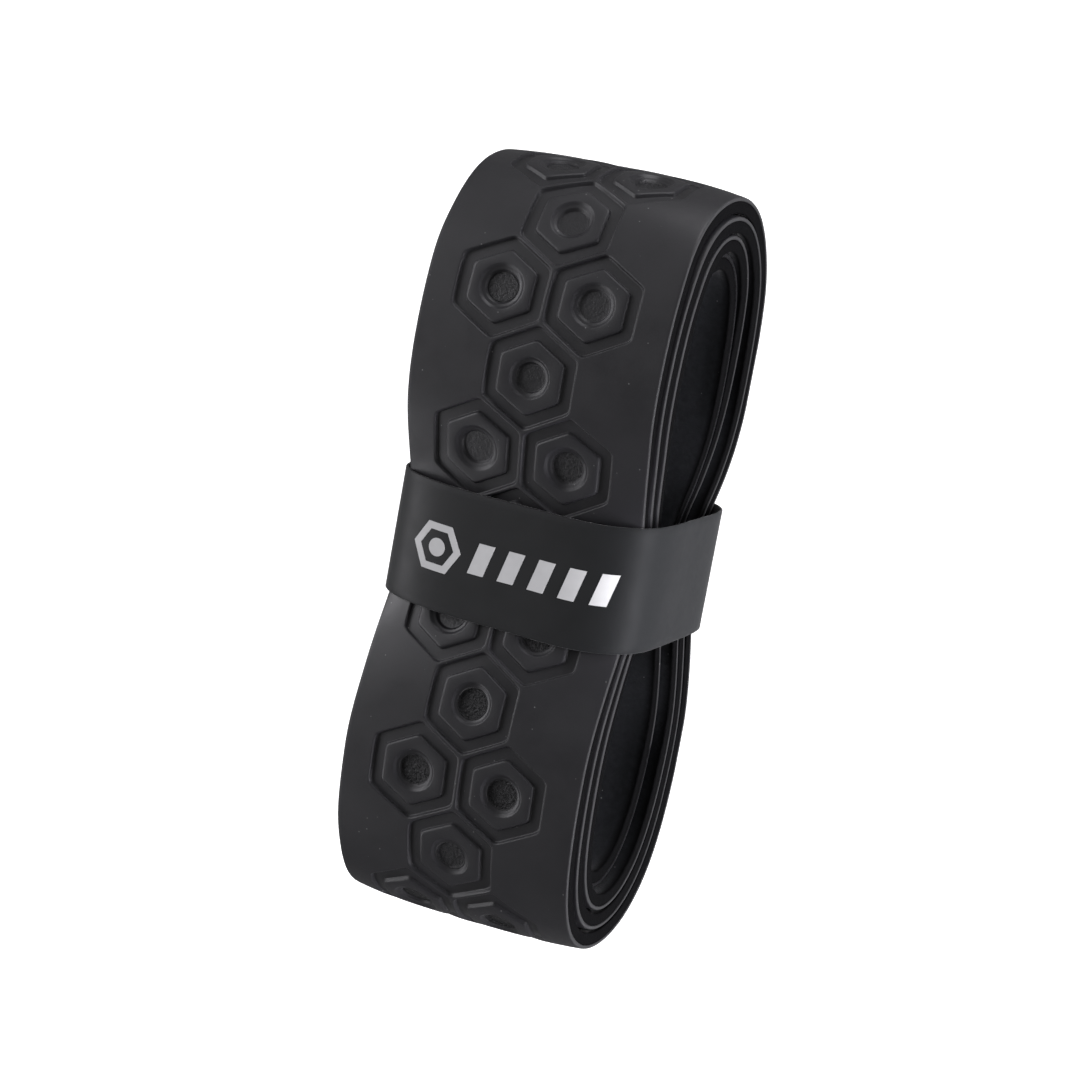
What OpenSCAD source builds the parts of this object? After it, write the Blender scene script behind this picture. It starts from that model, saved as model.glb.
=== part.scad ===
// Racket grip tape, wound flat into a roll and held by a retail band.
// The tape lies with its long axis along Y and its width along X; the roll rests on Z = 0.
// All lengths are in millimetres and angles in degrees.

/* [Tape] */
// Width of the tape, along X
tape_w = 28; // [24:0.5:32]
// Thickness of the embossed outer film
skin_t = 0.45; // [0.3:0.05:0.6]
// Thickness of the felt backing
backing_t = 1.0; // [0.7:0.05:1.1]
// Thickness of the adhesive on the backing
adhesive_t = 0.04; // [0.03:0.01:0.05]
// Thickness of the release liner over the adhesive
liner_t = 0.05; // [0.03:0.01:0.06]
// Width of the adhesive strip and of its liner
adhesive_w = 15; // [10:0.5:18]
// Length of the slanted cut at the inner end of the tape, measured along Y
taper_len = 30; // [20:1:32]
// Width that is left at the tip of the inner end
tip_w = 9; // [6:0.5:14]

/* [Roll] */
// Length of the roll from end to end
roll_len = 84.6; // [80:0.2:90]
// Depth of the roll across its two full lobes
roll_depth = 29.6; // [28:0.2:32]
// How far the band pinches each face at the waist
waist_dip = 4; // [3:0.1:4.5]
// Distance from the middle over which the pinch fades out
waist_len = 13.5; // [12:0.5:15]
// Squareness of the two ends: 2 is an ellipse, higher is fuller
end_fullness = 6; // [5:0.5:7]
// How far one end leans down and the other up
end_lean = 0.9; // [0:0.1:1]
// Number of turns, whole so that the inner end lies under the band
turns = 4; // [3:1:4]
// Spacing of the turns at the two ends of the roll
pitch_ends = 2.1; // [2:0.05:2.3]
// Spacing of the turns across the lobes, front and back averaged
pitch_lobes = 2.05; // [2.05:0.05:2.2]
// Spacing of the turns at the waist, where the band presses them together
pitch_waist = 1.86; // [1.84:0.02:1.9]
// How far each inner turn sinks towards the back, per turn
turn_sag = 0.3; // [0.2:0.02:0.3]
// Share of a turn over which the tape steps over its own end
step_share = 0.045; // [0.035:0.005:0.05]

/* [Band] */
// Width of the band, along Y
band_w = 13.8; // [12:0.2:16]
// Thickness of the band
band_t = 0.3; // [0.2:0.05:0.4]
// Clearance between the band and the side edges of the tape
band_gap_side = 1.1; // [0.9:0.1:1.4]
// Clearance between the band and the faces of the tape
band_gap_face = 0.3; // [0.25:0.05:0.5]
// Inside corner radius of the band
band_r = 1.7; // [1:0.1:1.7]
// Length of the glued overlap of the band's two ends
overlap_len = 9; // [6:0.5:12]
// Thickness of the glue in the overlap
glue_t = 0.08; // [0.05:0.01:0.1]

/* [Print] */
// Thickness of the printed ink
ink_t = 0.03; // [0.02:0.01:0.05]
// Height of the printed badge, along Y
badge_h = 6; // [5:0.2:7]
// Line width of the printed badge
badge_line = 0.9; // [0.6:0.1:1.2]
// Distance of the badge's centre from the band's centre line
badge_x = -8.2; // [-9:0.1:-7.6]
// Number of slanted bars beside the badge
bar_count = 5; // [3:1:5]
// Height of one bar, along Y
bar_h = 3.5; // [3:0.1:4.5]
// Width of one bar
bar_w = 1.9; // [1:0.1:2]
// Distance from one bar to the next
bar_step = 3.6; // [3.2:0.1:3.6]
// Sideways slant of a bar over its height
bar_slant = 0.9; // [0:0.1:1]
// Distance of the first bar's centre from the band's centre line
bar_x = -2.7; // [-3:0.1:-2.7]

/* [Hidden] */

points_per_turn = 64;
corner_steps = 5;
slope_step = 0.002;

// The outer face of the tape is a closed loop that shrinks by one spacing at each turn.
// The loop is drawn a little deeper than the roll, and what would reach below the resting
// plane is pressed flat.
lobe_extra = 0.2;
rest_press = 0.35;
half_len = roll_len / 2;
half_depth = roll_depth / 2 + lobe_extra;
mid_z = half_depth - rest_press;

function ease(x) = let (c = min(max(x, 0), 1)) c * c * (3 - 2 * c);

// Whole spacings that the tape has moved inwards after t turns
function inset(t) = floor(t) + ease((t - floor(t) - 1 + step_share) / step_share);

// Share of the waist pinch that is felt at y
function pinch(y) = exp(-pow(abs(y) / waist_len, 3));

// A point (y, z) on the tape's outer face, t turns from the outer end, which starts at the back
function face_point(t) =
    let (
        a = 180 + 360 * t,
        k = inset(t),
        y = (half_len - pitch_ends * k) * sin(a),
        depth = half_depth - pitch_lobes * k,
        dip = waist_dip - (pitch_lobes - pitch_waist) * k,
        round_off = sqrt(max(1 - pow(abs(sin(a)), end_fullness), 0)),
        middle = mid_z - turn_sag * k * (1 - pinch(y)) - end_lean * pow(sin(a), 5),
        z = middle + sign(cos(a)) * (depth - dip * pinch(y)) * round_off
    )
    [y, max(z, 0)];

// The unit vector that points into the roll from the outer face
function inward(t) =
    let (d = face_point(t + slope_step) - face_point(t - slope_step))
    [d[1], -d[0]] / norm(d);

function layer_point(t, depth) = face_point(t) + depth * inward(t);

// A stretch of one layer of the tape, between two depths below its outer face
module layer_outline(from_t, to_t, outer, inner) {
    steps = round((to_t - from_t) * points_per_turn);
    near = [for (i = [0:steps]) layer_point(from_t + (to_t - from_t) * i / steps, outer)];
    far = [for (i = [steps:-1:0]) layer_point(from_t + (to_t - from_t) * i / steps, inner)];
    polygon(concat(near, far));
}

// Stands an outline of (y, z) points up and spreads it evenly to both sides along X
module across(width) {
    rotate([90, 0, 90]) linear_extrude(height = width, center = true) children();
}

// The inner stretch of the tape lies on the back and is cut to a slanted tip
tip_steps = 9;
tip_t = turns - tip_steps / points_per_turn;

// Everything beside the slanted cut, with a margin past the tape's side and end
module tip_cut() {
    margin = 1;
    reach = tape_w / 2 + margin;
    slope = taper_len / (tape_w - tip_w);
    linear_extrude(height = roll_depth)
        polygon([
            [-reach, taper_len + slope * margin],
            [tape_w / 2 - tip_w, 0],
            [tape_w / 2 - tip_w, -margin],
            [-reach, -margin]
        ]);
}

module tape_layer(outer, inner) {
    across(tape_w) layer_outline(0, tip_t, outer, inner);
    difference() {
        across(tape_w) layer_outline(tip_t, turns, outer, inner);
        tip_cut();
    }
}

module grip_skin() {
    color([0.09, 0.09, 0.1]) tape_layer(0, skin_t);
}

module grip_backing() {
    color([0.05, 0.05, 0.055]) tape_layer(skin_t, skin_t + backing_t);
}

tape_t = skin_t + backing_t;

module adhesive_strip() {
    color([0.75, 0.72, 0.6]) across(adhesive_w)
        layer_outline(0, tip_t, tape_t, tape_t + adhesive_t);
}

module release_liner() {
    color([0.85, 0.86, 0.88]) across(adhesive_w)
        layer_outline(0, tip_t, tape_t + adhesive_t, tape_t + adhesive_t + liner_t);
}

// The band's inner faces clear the outer turn at the band's two edges
edge_a = asin(band_w / 2 / half_len) / 360;
band_in_x = tape_w / 2 + band_gap_side;
band_in_top = max(face_point(0.5 - edge_a)[1], face_point(0.5 + edge_a)[1]) + band_gap_face;
band_in_low = face_point(edge_a)[1] - band_gap_face;
band_top = band_in_top + band_t;

// A quarter turn of the band's outline, offset out from its inner face
function band_corner(cx, cz, from_a, out) =
    [for (i = [0:corner_steps])
        let (a = from_a - 90 * i / corner_steps)
        [cx + (band_r + out) * cos(a), cz + (band_r + out) * sin(a)]];

// The band's last stretch steps out over its own start between these distances from it
lap_from = 2;
lap_to = 0.4;

// The band's path: from its inner end at the back, round the roll, and out over its own start
function band_path(out) =
    let (
        x = band_in_x - band_r,
        low = band_in_low + band_r,
        top = band_in_top - band_r,
        lap = band_t + glue_t
    )
    concat(
        [[overlap_len / 2, band_in_low - out]],
        band_corner(-x, low, 270, out),
        band_corner(-x, top, 180, out),
        band_corner(x, top, 90, out),
        band_corner(x, low, 0, out),
        [[overlap_len / 2 + lap_from, band_in_low - out]],
        [[overlap_len / 2 + lap_to, band_in_low - out - lap]],
        [[-overlap_len / 2, band_in_low - out - lap]]
    );

// Spreads an outline of (x, z) points evenly to both sides along Y
module along(width) {
    rotate([90, 0, 0]) linear_extrude(height = width, center = true) children();
}

module band_sleeve() {
    outer = band_path(band_t);
    inner = band_path(0);
    last = len(inner) - 1;
    color([0.07, 0.07, 0.08]) along(band_w)
        polygon(concat(outer, [for (i = [last:-1:0]) inner[i]]));
}

module band_glue() {
    glue_len = overlap_len - 0.6;
    glue_w = band_w - 3;
    color([0.9, 0.88, 0.8])
        translate([0, 0, band_in_low - band_t - glue_t / 2])
        cube([glue_len, glue_w, glue_t], center = true);
}

module print_badge() {
    dot_r = badge_h / 6;
    color([0.78, 0.78, 0.8]) translate([badge_x, 0, band_top])
        linear_extrude(height = ink_t) {
            difference() {
                circle(d = badge_h, $fn = 6);
                circle(d = badge_h - 2 * badge_line, $fn = 6);
            }
            circle(r = dot_r, $fn = 40);
        }
}

module print_bar() {
    linear_extrude(height = ink_t)
        polygon([
            [-bar_w / 2 - bar_slant / 2, -bar_h / 2],
            [bar_w / 2 - bar_slant / 2, -bar_h / 2],
            [bar_w / 2 + bar_slant / 2, bar_h / 2],
            [-bar_w / 2 + bar_slant / 2, bar_h / 2]
        ]);
}

module print_bars() {
    color([0.78, 0.78, 0.8])
        for (i = [0:bar_count - 1])
            translate([bar_x + bar_step * i, 0, band_top]) print_bar();
}

grip_skin();
grip_backing();
adhesive_strip();
release_liner();
band_sleeve();
band_glue();
print_badge();
print_bars();
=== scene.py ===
import math

import bmesh
import bpy
import numpy as np
from mathutils import Matrix, Vector


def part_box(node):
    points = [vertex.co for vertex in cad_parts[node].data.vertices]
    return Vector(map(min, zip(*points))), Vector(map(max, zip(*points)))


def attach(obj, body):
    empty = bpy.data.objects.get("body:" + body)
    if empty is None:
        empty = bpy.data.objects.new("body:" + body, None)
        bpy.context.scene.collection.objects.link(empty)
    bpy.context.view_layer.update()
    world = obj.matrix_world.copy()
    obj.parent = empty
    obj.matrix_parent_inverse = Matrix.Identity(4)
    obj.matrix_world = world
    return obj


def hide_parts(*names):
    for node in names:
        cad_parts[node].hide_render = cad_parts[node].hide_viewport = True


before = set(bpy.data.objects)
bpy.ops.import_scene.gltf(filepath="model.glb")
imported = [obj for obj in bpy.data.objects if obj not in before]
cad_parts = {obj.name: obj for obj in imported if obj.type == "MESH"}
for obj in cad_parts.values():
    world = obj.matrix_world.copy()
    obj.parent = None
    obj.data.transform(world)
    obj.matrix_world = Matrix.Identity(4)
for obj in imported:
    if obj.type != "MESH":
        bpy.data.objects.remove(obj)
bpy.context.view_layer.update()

MM = 0.001
rng = np.random.default_rng(7)

# ---------------------------------------------------------------- dimensions, in millimetres

skin_high = np.array(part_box("grip_skin")[1]) / MM
band_high = np.array(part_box("band_sleeve")[1]) / MM
liner_high = np.array(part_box("release_liner")[1]) / MM

HALF_W = skin_high[0]                # half the tape's width
HALF_LEN = skin_high[1]              # half the roll's length
SKIN_T = 0.45
TAPE_T = 1.45                        # film and felt together
ADHESIVE_T = 0.04
LINER_T = 0.09                       # adhesive and liner together
LINER_HALF_W = liner_high[0]
ADHESIVE_INSET = 0.2                 # the liner stands out past the adhesive by this, each side
LAYER_GAP = 0.01                     # between the film and the felt

# The roll's outline, as the CAD source winds it
REST_FLAT = 0.1
HALF_DEPTH = 15.0
MID_Z = HALF_DEPTH - 0.25 - REST_FLAT
WAIST_DIP = 4.0
WAIST_LEN = 13.5
END_FULLNESS = 6
END_LEAN = 0.9
TURNS = 4
PITCH_ENDS = 2.1
PITCH_LOBES = 2.05
PITCH_WAIST = 1.86
TURN_SAG = 0.3
STEP_SHARE = 0.045
TAPER_LEN = 30
TIP_W = 9
TIP_TURNS = 9 / 64                   # the adhesive ends this many turns before the tape's tip

# The inner turn has slipped to one side, and all the turns wander a little
SLIP = -1.5
SLIP_FROM = 2.55
SLIP_TURNS = 0.5
WANDER = 0.12
WANDER_RATE = 5.1
WANDER_START = 0.4

# The band pulls the tape's edges down, and leaves the middle standing out at the waist
CROWN = 1.6
CROWN_Y = -2
CROWN_REACH = 15
BACK_CROWN_REACH = 8
EDGE_PRESS = 0.9
EDGE_PRESS_REACH = 8
# The rounded ends stand out further than the plain outline, mostly in the middle of the tape
END_CROWN = 0.66
END_FLARE = 0.2
END_SKEW = 0.15
END_FROM = 35
END_EASE = 7
END_RISE = 8                         # they fade out below this height, where the roll rests
# The pinched waist is a little narrower than the lobes
LEFT_SPREAD = 0.38
RIGHT_SPREAD = 0.28
SPREAD_UP_FROM = 6
SPREAD_DOWN_FROM = 15
SPREAD_UNTIL = 31
SPREAD_EASE = 9

# The hexagon pattern on the tape
CELL_R = 6.06                        # corner radius of one cell of the pattern
CELL_SQUASH = 0.977                  # the pattern is this much shorter along the tape
PATTERN_X = -0.24
FIRST_CELL_Y = 36.9                  # a middle cell on the front, near the upper end
WAIST_STRETCH = 1.25                 # the pattern is drawn out this much under the band
STRETCH_REACH = 4

# The felt's cut edges: how far they swell, from what depth and how far across
EDGE_SWELL = 0.38
SWELL_DEPTH = 0.9
SWELL_DEPTH_EASE = 0.45
SWELL_ACROSS = 12
SWELL_ACROSS_EASE = 1.5
SWELL_Y = 12                         # they don't swell nearer to the waist than this
SWELL_Y_EASE = 12
# The felt's fuzz: how rough it is sideways and down, and where it is
FUZZ_OUT = 0.014
FUZZ_DOWN = 0.010
FUZZ_DEPTH = 1.3
FUZZ_ACROSS = 12.5
FUZZ_SIDE = 13.8
FELT_CUT_FROM = 13.6                 # the felt's cut edge is beyond this far across, and is painted near black there as shade
FELT_STEP = 0.45                     # distance between its sections along the tape
FELT_POINTS = 30                     # across its underside
THIN_STEPS = 700                     # sections of the adhesive and the liner
THIN_POINTS = 9                      # across them

# The band: its outline is a squarish loop, and its front edges bow towards one end
BAND_T = 0.3
BAND_HALF_X = 16.1                   # half its outer width, across the tape
BAND_BACK_Z = 1.0
BAND_FRONT_Z = 27.85
BAND_SQUARENESS = 4.6
BAND_BOW = -0.65
BAND_DROOP = -0.35                   # how far its front corner at +X is carried along Y
BAND_TILT = 0.8                      # and its back, against its front
BAND_BEVEL = 0.1
BAND_ROWS = 16
BAND_STEPS = 260
GLUE_T = 0.08
OVERLAP = 9.0
LAP_FROM = 1.8                       # it begins to step out this far before its own start
LAP_EASE = 1.4
INK_T = 0.03
INK_GAP = 0.004                      # the ink's underside, just clear of the band's face
BADGE_LINE = 0.9
BAR_COUNT = 5
BAR_W = 1.9
BAR_STEP = 3.6
BAR_SLANT = 0.9
BAR_POINTS = 9
DISC_POINTS = 41


# ---------------------------------------------------------------- the wound tape

def ease(x):
    c = np.clip(x, 0, 1)
    return c * c * (3 - 2 * c)


def pinch(y):
    """Share of the waist pinch felt at y."""
    return np.exp(-(np.abs(y) / WAIST_LEN) ** 3)


def face_point(t):
    """(y, z) of the tape's outer face, t turns from the outer end."""
    t = np.asarray(t, float)
    a = np.radians(180 + 360 * t)
    whole = np.floor(t + 1e-9)
    k = whole + ease((t - whole - 1 + STEP_SHARE) / STEP_SHARE)
    y = (HALF_LEN - PITCH_ENDS * k) * np.sin(a)
    depth = HALF_DEPTH - PITCH_LOBES * k
    dip = WAIST_DIP - (PITCH_LOBES - PITCH_WAIST) * k
    round_off = np.sqrt(np.maximum(1 - np.abs(np.sin(a)) ** END_FULLNESS, 0))
    middle = MID_Z - TURN_SAG * k * (1 - pinch(y)) - END_LEAN * np.sin(a) ** 5
    z = middle + np.sign(np.cos(a)) * (depth - dip * pinch(y)) * round_off
    return np.stack([y, np.maximum(z, 0)], -1)


def inward(t, step=0.002):
    d = face_point(t + step) - face_point(t - step)
    d /= np.linalg.norm(d, axis=-1)[..., None]
    return np.stack([d[..., 1], -d[..., 0]], -1)


# Length along the tape at each turn position, and back
fine_t = np.linspace(0, TURNS - 1e-6, 12001)
fine_p = face_point(fine_t)
fine_s = np.concatenate([[0], np.cumsum(np.hypot(*np.diff(fine_p, axis=0).T))])
TAPE_LEN = fine_s[-1]


def turn_at(s):
    return np.interp(s, fine_s, fine_t)


def length_at(t):
    return np.interp(t, fine_t, fine_s)


def sideways(t):
    """How far the tape has slipped sideways in the roll."""
    wander = WANDER * np.sin(WANDER_RATE * t + WANDER_START)
    return SLIP * ease((t - SLIP_FROM) / SLIP_TURNS) + wander


def left_cut(t):
    """X of the tape's left side: it slants in over the last stretch, to the tip."""
    y = face_point(t)[..., 0]
    cut = np.clip((TAPER_LEN - y) / TAPER_LEN, 0, 1) * (2 * HALF_W - TIP_W)
    return -HALF_W + np.where(t > TURNS - 0.25, cut, 0)


def swell(w, y, z):
    """How far the tape stands out of the plain outline at w across it."""
    across = w / HALF_W
    reach = np.where(z > MID_Z, CROWN_REACH, BACK_CROWN_REACH)
    middle = CROWN * np.exp(-((y - CROWN_Y) / reach) ** 2) * (1 - across ** 2)
    pressed = EDGE_PRESS * np.exp(-(y / EDGE_PRESS_REACH) ** 4) * across ** 8
    rounded = END_CROWN * (1 - np.abs(across) ** 3) * (1 + END_SKEW * across * np.sign(y))
    ends = (rounded + END_FLARE * (1 - across)) * ease((np.abs(y) - END_FROM) / END_EASE)
    return middle - pressed + ends * ease(z / END_RISE)


def widening(w, y):
    """How far a point at w across the tape is carried sideways away from the pinched waist."""
    begin = np.where(y > 0, SPREAD_UP_FROM, SPREAD_DOWN_FROM)
    share = ease((np.abs(y) - begin) / SPREAD_EASE)
    share = share * (1 - ease((np.abs(y) - SPREAD_UNTIL) / SPREAD_EASE))
    reach = np.where(w < 0, LEFT_SPREAD, np.where(y > 0, RIGHT_SPREAD, 0))
    return share * reach * w / HALF_W


def place(w, s, depth):
    """Tape coordinates (across, along, below the outer face) to the row frame, in metres."""
    w, s, depth = np.broadcast_arrays(np.asarray(w, float), s, depth)
    t = turn_at(s)
    narrow = (HALF_W - left_cut(t)) / (2 * HALF_W)
    face = face_point(t)
    x = HALF_W - (HALF_W - w) * narrow + sideways(t) + widening(w, face[..., 0])
    yz = face + (depth - swell(w, face[..., 0], face[..., 1]))[..., None] * inward(t)
    return np.stack([x, yz[..., 0], yz[..., 1]], -1) * MM


# ---------------------------------------------------------------- mesh helpers

def new_piece(name, points, faces, smooth=True):
    mesh = bpy.data.meshes.new(name)
    mesh.from_pydata([tuple(p) for p in points], [], faces)
    mesh.validate()
    for polygon in mesh.polygons:
        polygon.use_smooth = smooth
    piece = bpy.data.objects.new(name, mesh)
    bpy.context.scene.collection.objects.link(piece)
    return piece


def face_out(piece):
    """Turns the faces of a closed piece outwards."""
    work = bmesh.new()
    work.from_mesh(piece.data)
    bmesh.ops.recalc_face_normals(work, faces=work.faces)
    work.to_mesh(piece.data)
    work.free()


def crisp(piece):
    """Vertex normals weighted by face area: flats stay flat and only the small bevels turn."""
    mesh = piece.data
    area, direction = np.zeros(len(mesh.polygons)), np.zeros(len(mesh.polygons) * 3)
    size, corner = np.zeros(len(mesh.polygons), int), np.zeros(len(mesh.loops), int)
    mesh.polygons.foreach_get("area", area)
    mesh.polygons.foreach_get("normal", direction)
    mesh.polygons.foreach_get("loop_total", size)
    mesh.loops.foreach_get("vertex_index", corner)
    normals = np.zeros((len(mesh.vertices), 3))
    np.add.at(normals, corner, np.repeat(direction.reshape(-1, 3) * area[:, None], size, axis=0))
    normals /= np.linalg.norm(normals, axis=1)[:, None] + 1e-20
    mesh.normals_split_custom_set_from_vertices(normals)


def mark(piece, label, values):
    """Stores one number at each point, for the material to read."""
    layer = piece.data.attributes.new(label, "FLOAT", "POINT")
    layer.data.foreach_set("value", np.array(values, np.float32))


def tube_faces(steps, count):
    """Faces of a closed tube of sections with count points each, with its two end caps."""
    faces = []
    for i in range(steps - 1):
        a, b = i * count, (i + 1) * count
        for j in range(count):
            k = (j + 1) % count
            faces.append((a + j, a + k, b + k, b + j))
    faces.append(tuple(range(count)))
    faces.append(tuple((steps - 1) * count + j for j in reversed(range(count))))
    return faces


def strip_piece(name, stations, section, wobble=None):
    """A closed strip along the tape: section is a closed loop of (across, depth) points."""
    loop = np.array(section, float)
    w = np.tile(loop[:, 0], (len(stations), 1))
    depth = np.tile(loop[:, 1], (len(stations), 1))
    if wobble is not None:
        dw, dd = wobble(w, depth)
        w, depth = w + dw, depth + dd
    points = place(w, np.array(stations)[:, None], depth).reshape(-1, 3)
    piece = new_piece(name, points, tube_faces(len(stations), len(loop)))
    face_out(piece)
    crisp(piece)
    return piece


# ---------------------------------------------------------------- the embossed skin

# Fractions along one side of a cell, closer together near the corners
SIDE_STEPS = (0, 0.06, 0.15, 0.3, 0.5, 0.7, 0.85, 0.94)
# Rings of one cell from its border inwards: (corner radius, how round from 0 to 1, depth)
CELL_RINGS = (
    (5.97, 0.0, 0.00), (5.91, 0.0, 0.025), (5.83, 0.0, 0.10), (5.72, 0.0, 0.36), (5.66, 0.0, 0.42),
    (5.55, 0.0, 0.44), (4.36, 0.0, 0.44), (4.30, 0.0, 0.41), (4.17, 0.0, 0.17), (4.07, 0.0, 0.08),
    (3.88, 0.0, 0.04), (3.20, 0.6, 0.04), (2.50, 1.0, 0.06), (2.38, 1.0, 0.11), (2.18, 1.0, 0.30),
    (2.08, 1.0, 0.36), (1.88, 1.0, 0.42), (1.79, 1.0, 0.48), (1.66, 1.0, 0.73), (1.56, 1.0, 0.77),
    (0.85, 1.0, 0.77)
)
PLAIN_RINGS = (CELL_RINGS[0], CELL_RINGS[4], CELL_RINGS[6], CELL_RINGS[9], CELL_RINGS[12],
               CELL_RINGS[19])
HOLE_FROM = 2.6                      # rings inside this radius follow the hole's own depth
FLOOR_FROM = 1.75                    # rings inside this radius are the matted floor of the hole, which is also painted darker as shade
SHARPNESS = 26                       # corners of the rings: higher is sharper
UNDER_PATTERN = 0.95                 # the embossing presses the film this far into the felt
CUT_FROM = 13.94                     # the film's raw cut edge is beyond this far across
BRIGHT_CUT_TURNS = 3.1               # further in, the film's cut edge is painted dark as shade, with the hole floors' colour; out to here it is painted a little lighter as a highlight
BRIGHT_CUT_LEN = length_at(BRIGHT_CUT_TURNS)
DETAILED_TURNS = 1.06                # the stretch whose pattern has all its rings
PLAIN_COLUMNS = 4                    # faces across the plain stretch beside the pattern
LEAD_IN_STEPS = 12
LEAD_OUT_STEPS = 46
# The film's rounded rim and its underside: (across, depth)
FILM_RIM = ((13.6, 0), (13.86, 0.012), (13.95, 0.05), (13.99, 0.12), (14.0, 0.3), (13.97, SKIN_T))
FILM_UNDER = ((12.6, SKIN_T), (12.0, UNDER_PATTERN), (6.0, UNDER_PATTERN), (0.0, UNDER_PATTERN))
# How the holes differ: depth, width and how matted their floors are, which also sets how dark
# their floors are painted as shade
HOLE_DEPTHS = (0.85, 1.2)
HOLE_WIDTHS = (0.94, 1.08)
MATTED_AND_SHADED_SHARES = (0.12, 0.5, 1.0)


def side_points(corner_a, corner_b):
    return [corner_a + (corner_b - corner_a) * f for f in SIDE_STEPS]


HEX_CORNERS = [np.array([math.cos(math.radians(a)), math.sin(math.radians(a))])
               for a in range(30, 390, 60)]
HEX_OUTLINE = np.array([p for i in range(6)
                        for p in side_points(HEX_CORNERS[i], HEX_CORNERS[(i + 1) % 6])])
HEX_ANGLES = np.arctan2(HEX_OUTLINE[:, 1], HEX_OUTLINE[:, 0])


def ring_points(radius, roundness):
    """A hexagon with softened corners, or a circle, or something between."""
    apothem = radius * math.cos(math.radians(30))
    sides = np.radians(np.arange(0, 360, 60))
    facing = np.maximum(np.cos(HEX_ANGLES[:, None] - sides[None, :]), 0)
    hexagon = apothem / (facing ** SHARPNESS).sum(1) ** (1 / SHARPNESS)
    circle = np.full_like(hexagon, radius)
    r = hexagon * (1 - roundness) + circle * roundness
    return np.stack([r * np.cos(HEX_ANGLES), r * np.sin(HEX_ANGLES)], -1)


class Sheet:
    """Points in tape coordinates, shared where they coincide, and the faces between them."""

    def __init__(self):
        self.index, self.points, self.faces, self.floor, self.cut = {}, [], [], [], []

    def point(self, w, s, depth, floor=0.0):
        key = (round(w, 3), round(s, 3), round(depth, 3))
        if key not in self.index:
            self.index[key] = len(self.points)
            self.points.append((w, s, depth))
            # The film's cut edge is painted lighter as a highlight on the outer turns and darker
            # as shade further in
            at_cut, bright = abs(w) > CUT_FROM, s < BRIGHT_CUT_LEN
            self.floor.append(1.0 if at_cut and not bright else floor)
            self.cut.append(1.0 if at_cut and bright else 0.0)
        return self.index[key]

    def band(self, inner, outer, closed=False):
        n = len(inner)
        for j in range(n if closed else n - 1):
            k = (j + 1) % n
            self.faces.append((inner[j], inner[k], outer[k], outer[j]))


def stretched(s):
    """The pattern is drawn out a little where the outer turn passes under the band."""
    middle = length_at(0.5)
    return s + WAIST_STRETCH / 2 * np.tanh((s - middle) / STRETCH_REACH)


def add_cell(sheet, w, s, rings):
    """One hexagon with its dished hole; the holes differ a little."""
    deeper = rng.uniform(*HOLE_DEPTHS)
    wider = rng.uniform(*HOLE_WIDTHS)
    # This share both mats the hole's floor and paints it darker as shade
    matted = rng.choice(MATTED_AND_SHADED_SHARES)
    border = [sheet.point(w + CELL_R * p[0], stretched(s + CELL_R * CELL_SQUASH * p[1]), 0)
              for p in HEX_OUTLINE]
    last = border
    for radius, roundness, depth in rings:
        if radius < HOLE_FROM:
            radius, depth = radius * wider, depth * deeper
        ring = [sheet.point(w + p[0], stretched(s + CELL_SQUASH * p[1]), depth,
                            matted if radius < FLOOR_FROM else 0.0)
                for p in ring_points(radius, roundness)]
        sheet.band(ring, last, closed=True)
        last = ring
    centre = sheet.point(w, stretched(s), depth, matted)
    for j in range(len(last)):
        sheet.faces.append((centre, last[j], last[(j + 1) % len(last)]))


# The pattern's rows along the tape: middle cells and pairs take turns
ROW = 1.5 * CELL_R * CELL_SQUASH
CELL_HALF_W = CELL_R * math.cos(math.radians(30))
front_t = np.linspace(0.5, 0.74, 2000)
first_cell_t = front_t[np.argmin(np.abs(face_point(front_t)[:, 0] - FIRST_CELL_Y))]
first_cell_s = length_at(first_cell_t) - WAIST_STRETCH / 2
end_margin = CELL_R + 1.5
rows_before = int((first_cell_s - end_margin) // (2 * ROW)) * 2
taper_start = length_at(TURNS - 0.16)
rows_after = int((taper_start - end_margin - first_cell_s) // (2 * ROW)) * 2


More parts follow.
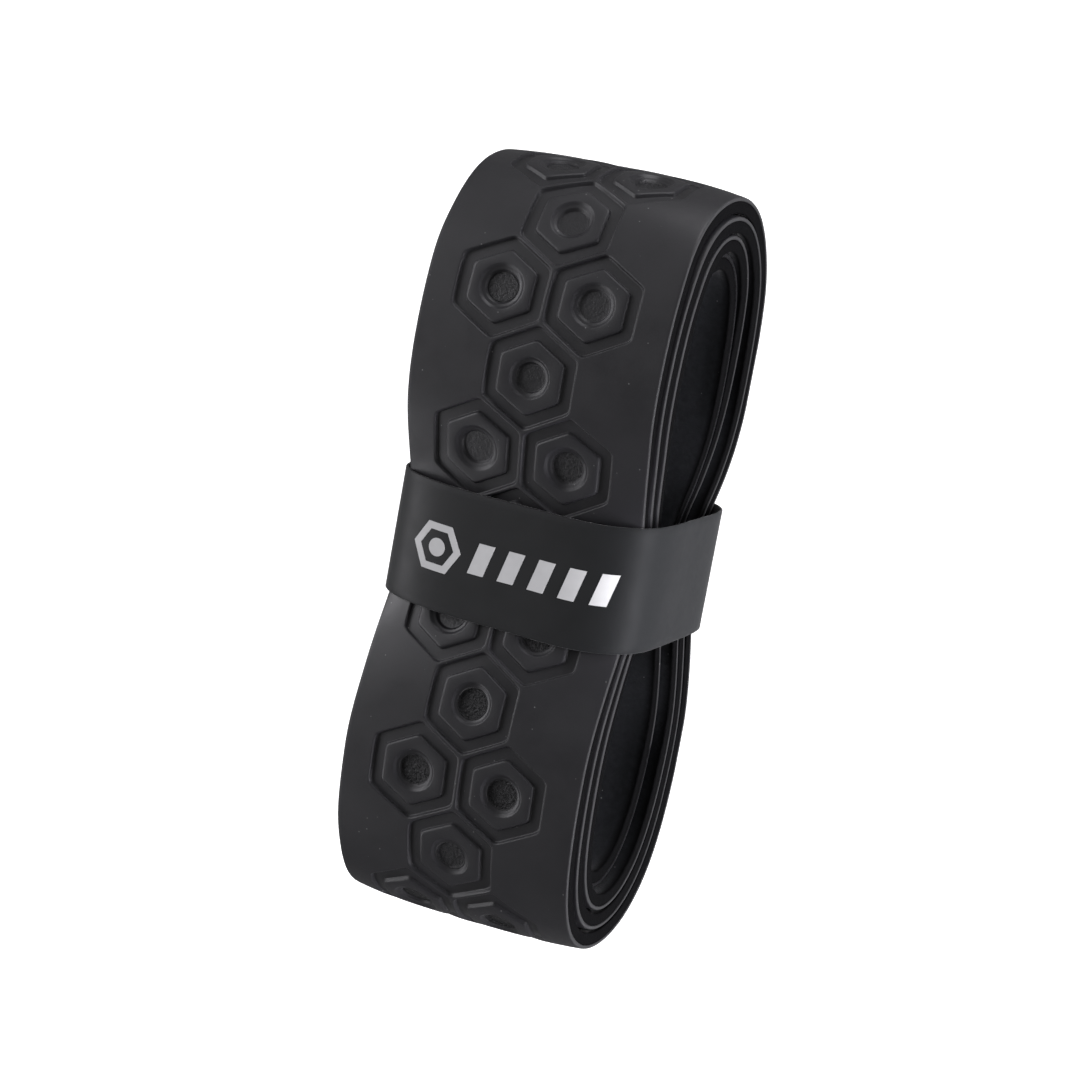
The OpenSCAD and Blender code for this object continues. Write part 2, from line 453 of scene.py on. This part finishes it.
def build_skin():
    """The cells of the pattern, the plain film beside them, its rims and its underside."""
    sheet = Sheet()
    edge = []                        # (across, along) down the right border of the cells
    for row in range(-rows_before, rows_after + 1):
        s = first_cell_s + row * ROW
        rings = CELL_RINGS if s < length_at(DETAILED_TURNS) else PLAIN_RINGS
        centres = (0,) if row % 2 == 0 else (-CELL_HALF_W, CELL_HALF_W)
        for offset in centres:
            add_cell(sheet, PATTERN_X + offset, s, rings)
        reach = 0 if row % 2 == 0 else CELL_HALF_W
        corner = {a: np.array([reach + CELL_R * math.cos(math.radians(a)),
                               s + CELL_R * CELL_SQUASH * math.sin(math.radians(a))])
                  for a in (-90, -30, 30, 90)}
        if row % 2 or row == -rows_before:
            edge += side_points(corner[-90], corner[-30])
        edge += side_points(corner[-30], corner[30])
        if row % 2 or row == rows_after:
            edge += side_points(corner[30], corner[90])
    edge.append(corner[90])
    lead_in = [np.array([0, s]) for s in np.linspace(0, edge[0][1], LEAD_IN_STEPS)[:-1]]
    lead_out = [np.array([0, s])
                for s in np.linspace(edge[-1][1], TAPE_LEN, LEAD_OUT_STEPS)[1:]]
    edge = lead_in + edge + lead_out

    last = None
    for reach, along in edge:
        s = float(stretched(along))
        chain = []
        for side in (1, -1):
            start = PATTERN_X + side * reach
            line = [sheet.point(start + (side * FILM_RIM[0][0] - start) * i / PLAIN_COLUMNS, s, 0)
                    for i in range(PLAIN_COLUMNS)]
            line += [sheet.point(side * w, s, d) for w, d in FILM_RIM + FILM_UNDER]
            chain.append(line)
        if last is not None:
            for side in (0, 1):
                sheet.band(last[side], chain[side])
        else:
            first = chain
        last = chain
    for chain in (first, last):
        right, left = chain
        steps = PLAIN_COLUMNS + len(FILM_RIM)
        sheet.faces.append((right[0], *right[1:steps], *left[steps - 1:0:-1]))
        sheet.faces.append((right[steps - 1], *right[steps:], *left[-2:steps - 2:-1]))

    grid = np.array(sheet.points)
    points = place(grid[:, 0], grid[:, 1], grid[:, 2])
    skin = new_piece("tape_skin", points, sheet.faces)
    face_out(skin)
    crisp(skin)
    mark(skin, "matting_and_painted_shade", sheet.floor)
    mark(skin, "cut_edge", sheet.cut)
    return skin


# ---------------------------------------------------------------- backing, adhesive and liner

def build_backing():
    """The felt: pressed in under the pattern, with rough edges and underside."""
    stations = np.arange(0, TAPE_LEN, FELT_STEP)
    top = SKIN_T + LAYER_GAP
    side = [(13.93, top), (13.95, 0.6), (13.96, 0.9), (13.95, 1.2), (13.93, 1.34), (13.85, 1.42)]
    below = [(w, TAPE_T) for w in np.linspace(13.7, -13.7, FELT_POINTS)]
    middle = [(w, UNDER_PATTERN + LAYER_GAP) for w in np.linspace(-12, 12, 9)]
    over = [(-12.6, top)] + middle + [(12.6, top)]
    mirror = [(-w, d) for w, d in reversed(side)]

    away = ease((np.abs(face_point(turn_at(stations))[:, 0]) - SWELL_Y) / SWELL_Y_EASE)

    def fuzz(w, depth):
        """Rough felt, whose cut edges swell where the turns leave each other room."""
        loose = (depth > top + 0.05) & ((np.abs(w) > FUZZ_ACROSS) | (depth > FUZZ_DEPTH))
        across = rng.normal(0, FUZZ_OUT, w.shape) * (loose & (np.abs(w) > FUZZ_SIDE))
        down = rng.normal(0, FUZZ_DOWN, w.shape) * (loose & (depth > FUZZ_DEPTH))
        deep = ease((depth - SWELL_DEPTH) / SWELL_DEPTH_EASE)
        outer = ease((np.abs(w) - SWELL_ACROSS) / SWELL_ACROSS_EASE)
        return across, down + EDGE_SWELL * deep * outer * away[:, None]

    section = side + below + mirror + over
    felt = strip_piece("tape_felt", stations, section, fuzz)
    # The cut edge is marked for the material, which paints it near black as shade
    cut = [1.0 if abs(w) > FELT_CUT_FROM else 0.0 for w, depth in section]
    mark(felt, "cut_edge", cut * len(stations))
    return felt


def build_thin_strip(name, outer, inner, half_w):
    """A flat strip between two depths, which ends before the tape's tip."""
    stations = np.linspace(0, length_at(TURNS - TIP_TURNS), THIN_STEPS)
    across = np.linspace(half_w, -half_w, THIN_POINTS)
    section = [(w, inner) for w in across] + [(-w, outer) for w in across]
    return strip_piece(name, stations, section)


# ---------------------------------------------------------------- the band

BAND_MID_Z = (BAND_FRONT_Z + BAND_BACK_Z) / 2
BAND_HALF_Z = (BAND_FRONT_Z - BAND_BACK_Z) / 2
BAND_HALF_Y = band_high[1]


def loop_point(angle):
    """(x, z) on the band's outer outline; angle 0 is at +X and a quarter turn is the front."""
    power = 2 / BAND_SQUARENESS
    c, s = np.cos(angle), np.sin(angle)
    return np.stack([BAND_HALF_X * np.sign(c) * np.abs(c) ** power,
                     BAND_MID_Z + BAND_HALF_Z * np.sign(s) * np.abs(s) ** power], -1)


# Length round the band, from the middle of the front towards +X
loop_angle = np.linspace(math.pi / 2, -3 * math.pi / 2, 8001)
loop_xz = loop_point(loop_angle)
loop_s = np.concatenate([[0], np.cumsum(np.hypot(*np.diff(loop_xz, axis=0).T))])
LOOP_LEN = loop_s[-1]


def band_point(along, y, out):
    """A point on the band: along it from the front's middle, across it, and out from its face."""
    wrapped = np.mod(along, LOOP_LEN)
    step = 0.05
    xz = np.stack([np.interp(wrapped, loop_s, loop_xz[:, i]) for i in (0, 1)], -1)
    ahead = np.stack([np.interp(np.mod(wrapped + step, LOOP_LEN), loop_s, loop_xz[:, i])
                      for i in (0, 1)], -1)
    behind = np.stack([np.interp(np.mod(wrapped - step, LOOP_LEN), loop_s, loop_xz[:, i])
                       for i in (0, 1)], -1)
    run = ahead - behind
    run /= np.linalg.norm(run, axis=-1)[..., None]
    xz = xz + out[..., None] * np.stack([-run[..., 1], run[..., 0]], -1)
    front = np.clip((xz[..., 1] - BAND_MID_Z) / BAND_HALF_Z, 0, 1) ** 2
    across = xz[..., 0] / BAND_HALF_X
    bow = front * (BAND_BOW * (1 - across ** 2) + BAND_DROOP * ease(across / 0.7))
    tilt = BAND_TILT * (BAND_FRONT_Z - xz[..., 1]) / (BAND_FRONT_Z - BAND_BACK_Z)
    return np.stack([xz[..., 0], y + bow + tilt, xz[..., 1]], -1) * MM


def build_band():
    """One strip from its inner end at the back, round the roll, and out over its own start."""
    half, bevel = BAND_HALF_Y, BAND_BEVEL
    rim = ((half - bevel, -BAND_T), (half, bevel - BAND_T), (half, -bevel), (half - bevel, 0))
    face = [(y, 0) for y in np.linspace(half, -half, BAND_ROWS)[1:-1]]
    other = [(-y, out) for y, out in reversed(rim)]
    back = [(y, -BAND_T) for y in np.linspace(-half, half, BAND_ROWS)[1:-1]]
    section = np.array(list(rim) + face + other + back)
    start = LOOP_LEN / 2 - OVERLAP / 2
    along = start + np.linspace(0, LOOP_LEN + OVERLAP, BAND_STEPS)
    lap = (BAND_T + GLUE_T) * ease((along - start - LOOP_LEN + LAP_FROM) / LAP_EASE)
    points = band_point(along[:, None], section[None, :, 0], section[None, :, 1] + lap[:, None])
    band = new_piece("band_card", points.reshape(-1, 3), tube_faces(len(along), len(section)))
    face_out(band)
    return band


def printed(name, strips):
    """Ink on the band: each strip is a patch between two rows of (along, across) points."""
    points, faces = [], []
    for one, two in strips:
        count = len(one)
        base = len(points)
        for out in (INK_GAP, INK_T):
            for row in (one, two):
                row = np.array(row)
                points += list(band_point(row[:, 0], row[:, 1], np.full(count, out)))
        low_a, low_b, top_a, top_b = (base + i * count for i in range(4))
        for j in range(count - 1):
            faces += [(top_a + j, top_b + j, top_b + j + 1, top_a + j + 1),
                      (low_a + j, low_a + j + 1, low_b + j + 1, low_b + j),
                      (low_a + j, top_a + j, top_a + j + 1, low_a + j + 1),
                      (low_b + j, low_b + j + 1, top_b + j + 1, top_b + j)]
        faces += [(low_a, low_b, top_b, top_a),
                  (low_a + count - 1, top_a + count - 1, top_b + count - 1, low_b + count - 1)]
    piece = new_piece(name, points, faces, smooth=False)
    face_out(piece)
    return piece


def hexagon_line(centre, radius, steps=8):
    corners = [(centre + radius * math.cos(math.radians(a)), radius * math.sin(math.radians(a)))
               for a in range(0, 421, 60)]
    line = []
    for a, b in zip(corners[:6], corners[1:7]):
        line += [(a[0] + (b[0] - a[0]) * i / steps, a[1] + (b[1] - a[1]) * i / steps)
                 for i in range(steps)]
    return line + [corners[0]]


def build_badge():
    badge_low, badge_high = (np.array(corner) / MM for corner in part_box("print_badge"))
    centre = (badge_low[0] + badge_high[0]) / 2
    radius = (badge_high[0] - badge_low[0]) / 2
    ring = (hexagon_line(centre, radius), hexagon_line(centre, radius - BADGE_LINE))
    turn = np.radians(np.linspace(0, 360, DISC_POINTS))
    dot = radius / 3
    disc = [(centre + dot * math.cos(a), dot * math.sin(a)) for a in turn]
    return printed("badge_ink", [ring, (disc, [(centre, 0)] * len(disc))])


def build_bars():
    bars_low, bars_high = (np.array(corner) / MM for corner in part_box("print_bars"))
    half_h = bars_high[1]
    first = bars_low[0] + (BAR_W + BAR_SLANT) / 2
    strips = []
    for i in range(BAR_COUNT):
        ends = []
        for side in (-1, 1):
            middle = first + BAR_STEP * i + side * BAR_SLANT / 2
            along = np.linspace(middle - BAR_W / 2, middle + BAR_W / 2, BAR_POINTS)
            ends.append([(x, side * half_h) for x in along])
        strips.append(ends)
    return printed("bars_ink", strips)


# ---------------------------------------------------------------- materials

def material(name):
    made = bpy.data.materials.new(name)
    made.use_nodes = True
    tree = made.node_tree
    shader = tree.nodes["Principled BSDF"]
    return made, tree, shader


def node(tree, kind, **values):
    made = tree.nodes.new(kind)
    for key, value in values.items():
        if key in made.inputs:
            made.inputs[key].default_value = value
        else:
            setattr(made, key, value)
    return made


def noise(tree, scale, detail=2.0, rough=0.5):
    coords = node(tree, "ShaderNodeTexCoord")
    made = node(tree, "ShaderNodeTexNoise", Scale=scale, Detail=detail, Roughness=rough)
    tree.links.new(coords.outputs["Object"], made.inputs["Vector"])
    return made.outputs["Fac"]


def spread(tree, value, low, high, from_low=0.0, from_high=1.0):
    made = node(tree, "ShaderNodeMapRange")
    made.inputs["From Min"].default_value = from_low
    made.inputs["From Max"].default_value = from_high
    made.inputs["To Min"].default_value = low
    made.inputs["To Max"].default_value = high
    tree.links.new(value, made.inputs["Value"])
    return made.outputs["Result"]


def mix_colour(tree, factor, a, b):
    made = node(tree, "ShaderNodeMix", data_type="RGBA")
    tree.links.new(factor, made.inputs["Factor"])
    for socket, colour in ((made.inputs[6], a), (made.inputs[7], b)):
        if isinstance(colour, tuple):
            socket.default_value = (*colour, 1)
        else:
            tree.links.new(colour, socket)
    return made.outputs[2]


def mixed_base_colour(tree, shader, fac, a, b):
    tree.links.new(mix_colour(tree, fac, a, b), shader.inputs["Base Color"])


def varied_roughness(tree, shader, fac, low, high, *share):
    tree.links.new(spread(tree, fac, low, high, *share), shader.inputs["Roughness"])


def bump(tree, shader, height, strength, distance, before=None):
    made = node(tree, "ShaderNodeBump", Strength=strength, Distance=distance)
    tree.links.new(height, made.inputs["Height"])
    if before is not None:
        tree.links.new(before, made.inputs["Normal"])
    tree.links.new(made.outputs["Normal"], shader.inputs["Normal"])
    return made.outputs["Normal"]


DUST = (0.12, 0.12, 0.12)
DUST_SCALE = 800
DUSTY_SHARE = 0.5


def specks(tree):
    """Sparse dust: 1 within a tiny distance of some of the cell centres, 0 elsewhere."""
    coords = node(tree, "ShaderNodeTexCoord")
    cells = node(tree, "ShaderNodeTexVoronoi", Scale=DUST_SCALE)
    tree.links.new(coords.outputs["Object"], cells.inputs["Vector"])
    near = spread(tree, cells.outputs["Distance"], 1, 0, 0.03, 0.08)
    split = node(tree, "ShaderNodeSeparateColor")
    tree.links.new(cells.outputs["Color"], split.inputs["Color"])
    chosen = node(tree, "ShaderNodeMath", operation="GREATER_THAN")
    tree.links.new(split.outputs["Red"], chosen.inputs[0])
    chosen.inputs[1].default_value = DUSTY_SHARE
    both = node(tree, "ShaderNodeMath", operation="MULTIPLY")
    tree.links.new(near, both.inputs[0])
    tree.links.new(chosen.outputs[0], both.inputs[1])
    return both.outputs[0]


def skin_material():
    made, tree, shader = material("matte polyurethane")
    floor = node(tree, "ShaderNodeAttribute", attribute_name="matting_and_painted_shade").outputs["Fac"]
    cut = node(tree, "ShaderNodeAttribute", attribute_name="cut_edge").outputs["Fac"]
    plain = mix_colour(tree, noise(tree, 90, 3),
                       (0.0125, 0.0122, 0.0142), (0.0175, 0.0172, 0.0192))
    # Painted shade: the hole floors and the inner turns' cut edges are darker
    shaded_floor_colour = mix_colour(tree, floor, plain, (0.008, 0.008, 0.009))
    # Painted highlight: the outer turns' cut edge is a little lighter
    lit_cut_colour = mix_colour(tree, cut, shaded_floor_colour, (0.02, 0.02, 0.021))
    mixed_base_colour(tree, shader, specks(tree), lit_cut_colour, DUST)
    varied_roughness(tree, shader, noise(tree, 170, 6, 0.65), 0.36, 0.55, 0.3, 0.7)
    shader.inputs["Specular IOR Level"].default_value = 0.42
    grain = bump(tree, shader, noise(tree, 5200, 2), 0.16, 0.00005)
    matted = noise(tree, 2700, 3, 0.7)
    masked = node(tree, "ShaderNodeMath", operation="MULTIPLY")
    tree.links.new(matted, masked.inputs[0])
    tree.links.new(floor, masked.inputs[1])
    bump(tree, shader, masked.outputs[0], 1.0, 0.0005, grain)
    return made


def felt_material():
    made, tree, shader = material("black felt")
    cut = node(tree, "ShaderNodeAttribute", attribute_name="cut_edge").outputs["Fac"]
    face = mix_colour(tree, noise(tree, 1500, 4, 0.7),
                      (0.010, 0.0105, 0.012), (0.024, 0.025, 0.028))
    dusty = mix_colour(tree, specks(tree), face, DUST)
    # Painted shade: the felt's cut edge is near black
    mixed_base_colour(tree, shader, cut, dusty, (0.002, 0.002, 0.0022))
    shader.inputs["Roughness"].default_value = 0.95
    shader.inputs["Specular IOR Level"].default_value = 0.06
    tree.links.new(spread(tree, cut, 0.08, 0), shader.inputs["Sheen Weight"])
    shader.inputs["Sheen Roughness"].default_value = 0.35
    bump(tree, shader, noise(tree, 2600, 5, 0.75), 0.7, 0.00015)
    return made


def liner_material():
    made, tree, shader = material("release film")
    mixed_base_colour(tree, shader, noise(tree, 120, 2), (0.60, 0.61, 0.62), (0.68, 0.69, 0.70))
    varied_roughness(tree, shader, noise(tree, 300, 2), 0.3, 0.42)
    bump(tree, shader, noise(tree, 180, 2), 0.15, 0.0003)
    return made


def adhesive_material():
    made, tree, shader = material("adhesive")
    mixed_base_colour(tree, shader, noise(tree, 700, 3), (0.42, 0.38, 0.26), (0.52, 0.48, 0.36))
    varied_roughness(tree, shader, noise(tree, 500, 2), 0.2, 0.4)
    bump(tree, shader, noise(tree, 900, 3), 0.3, 0.0001)
    return made


def card_material():
    made, tree, shader = material("matte coated card")
    mixed_base_colour(tree, shader, noise(tree, 150, 3),
                   (0.0085, 0.009, 0.0098), (0.0115, 0.012, 0.0128))
    varied_roughness(tree, shader, noise(tree, 420, 3), 0.46, 0.56, 0.3, 0.7)
    shader.inputs["Specular IOR Level"].default_value = 0.32
    shader.inputs["Sheen Weight"].default_value = 0.12
    shader.inputs["Sheen Roughness"].default_value = 0.3
    bump(tree, shader, noise(tree, 3800, 3, 0.6), 0.1, 0.00004)
    return made


def ink_material():
    made, tree, shader = material("light grey ink")
    mixed_base_colour(tree, shader, noise(tree, 900, 3), (0.50, 0.50, 0.505), (0.58, 0.58, 0.585))
    varied_roughness(tree, shader, noise(tree, 1200, 2), 0.5, 0.62)
    bump(tree, shader, noise(tree, 3800, 3, 0.6), 0.1, 0.00003)
    return made


def wear(piece, coat):
    piece.data.materials.clear()
    piece.data.materials.append(coat)


def finish_piece(piece, body, coat, slot, *nodes):
    wear(piece, coat)
    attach(piece, body)
    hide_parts(*nodes)
    return piece


finish_piece(build_skin(), "roll", skin_material(), "skin", "grip_skin")
felt = finish_piece(build_backing(), "roll", felt_material(), "felt", "grip_backing")
adhesive = build_thin_strip("tape_adhesive", TAPE_T, TAPE_T + ADHESIVE_T,
                            LINER_HALF_W - ADHESIVE_INSET)
finish_piece(adhesive, "roll", adhesive_material(), "adhesive", "adhesive_strip")
liner = build_thin_strip("tape_liner", TAPE_T + ADHESIVE_T, TAPE_T + LINER_T, LINER_HALF_W)
finish_piece(liner, "roll", liner_material(), "liner", "release_liner")
finish_piece(build_band(), "band", card_material(), "band", "band_sleeve")
ink = ink_material()
finish_piece(build_badge(), "band", ink, "ink", "print_badge")
finish_piece(build_bars(), "band", ink, "ink", "print_bars")
wear(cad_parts["band_glue"], adhesive_material())


# ---------------------------------------------------------------- stage, camera and light

def add_floor():
    bpy.ops.mesh.primitive_plane_add(size=FLOOR_SIZE, location=(0, 0, 0))
    floor = bpy.context.object
    floor.name = "floor"
    made, tree, shader = material("pale floor")
    shader.inputs["Base Color"].default_value = (0.86, 0.86, 0.86, 1)
    shader.inputs["Roughness"].default_value = 0.9
    shader.inputs["Emission Color"].default_value = (1, 1, 1, 1)
    shader.inputs["Emission Strength"].default_value = 0.8
    floor.data.materials.append(made)
    floor.visible_glossy = False


AIM = Vector((-1.7, 0.8, 15)) * MM
VIEW_AZIMUTH = math.radians(23.5)    # from +X towards +Y
VIEW_ELEVATION = math.radians(65.7)
VIEW_DISTANCE = 292.6 * MM
VIEW_ROLL = math.radians(11.2)
LENS = 87.2
FLOOR_SIZE = 6
WORLD_LIGHT = 0.19
back = Vector((math.cos(VIEW_ELEVATION) * math.cos(VIEW_AZIMUTH),
               math.cos(VIEW_ELEVATION) * math.sin(VIEW_AZIMUTH),
               math.sin(VIEW_ELEVATION)))
up_hint = Vector((-math.sin(VIEW_ROLL), math.cos(VIEW_ROLL), 0))
right = up_hint.cross(back).normalized()
up = back.cross(right).normalized()


def add_camera():
    lens = bpy.data.cameras.new("camera")
    lens.sensor_width = 36
    lens.lens = LENS
    lens.clip_start = 0.01
    camera = bpy.data.objects.new("camera", lens)
    turn = Matrix((right, up, back)).transposed()
    camera.matrix_world = Matrix.Translation(AIM + back * VIEW_DISTANCE) @ turn.to_4x4()
    bpy.context.scene.collection.objects.link(camera)
    bpy.context.scene.camera = camera


LIGHT_TINT = (0.97, 0.96, 1.0)
# Soft lights: (name, direction, distance, size, watts)
SOFTBOXES = (
    ("key", (-0.78, 0.42, 0.5), 0.5, (0.4, 0.4), 0.75),
    ("left", (-0.87, -0.1, 0.5), 0.28, (0.1, 0.45), 0.62),
    ("far", (0.1, 1.0, 0.08), 0.4, (0.2, 0.2), 0.7),
    ("corner", (1.0, -0.1, 0.14), 0.3, (0.14, 0.4), 0.4)
)
# A broad one that lights the tape's edges without a highlight
EDGE_FILL = ("right", (1.0, -0.1, 0.06), 0.3, (0.08, 0.4), 4.2)


def add_softbox(name, direction, distance, size, watts):
    """A rectangular soft light that faces the roll from a direction in the row frame."""
    lamp = bpy.data.lights.new(name, "AREA")
    lamp.shape = "RECTANGLE"
    lamp.size, lamp.size_y = size
    lamp.energy = watts
    lamp.color = LIGHT_TINT
    box = bpy.data.objects.new(name, lamp)
    ray = Vector(direction).normalized()
    across = Vector((0, 1, 0)).cross(ray).normalized()
    turn = Matrix((across, ray.cross(across), ray)).transposed()
    box.matrix_world = Matrix.Translation(AIM + ray * distance) @ turn.to_4x4()
    bpy.context.scene.collection.objects.link(box)
    return box


add_floor()
add_camera()
for softbox in SOFTBOXES:
    add_softbox(*softbox)
add_softbox(*EDGE_FILL).visible_glossy = False
world = bpy.data.worlds.new("studio")
world.use_nodes = True
world.node_tree.nodes["Background"].inputs["Color"].default_value = (1, 1, 1, 1)
world.node_tree.nodes["Background"].inputs["Strength"].default_value = WORLD_LIGHT
bpy.context.scene.world = world
bpy.context.scene.view_settings.view_transform = "Standard"
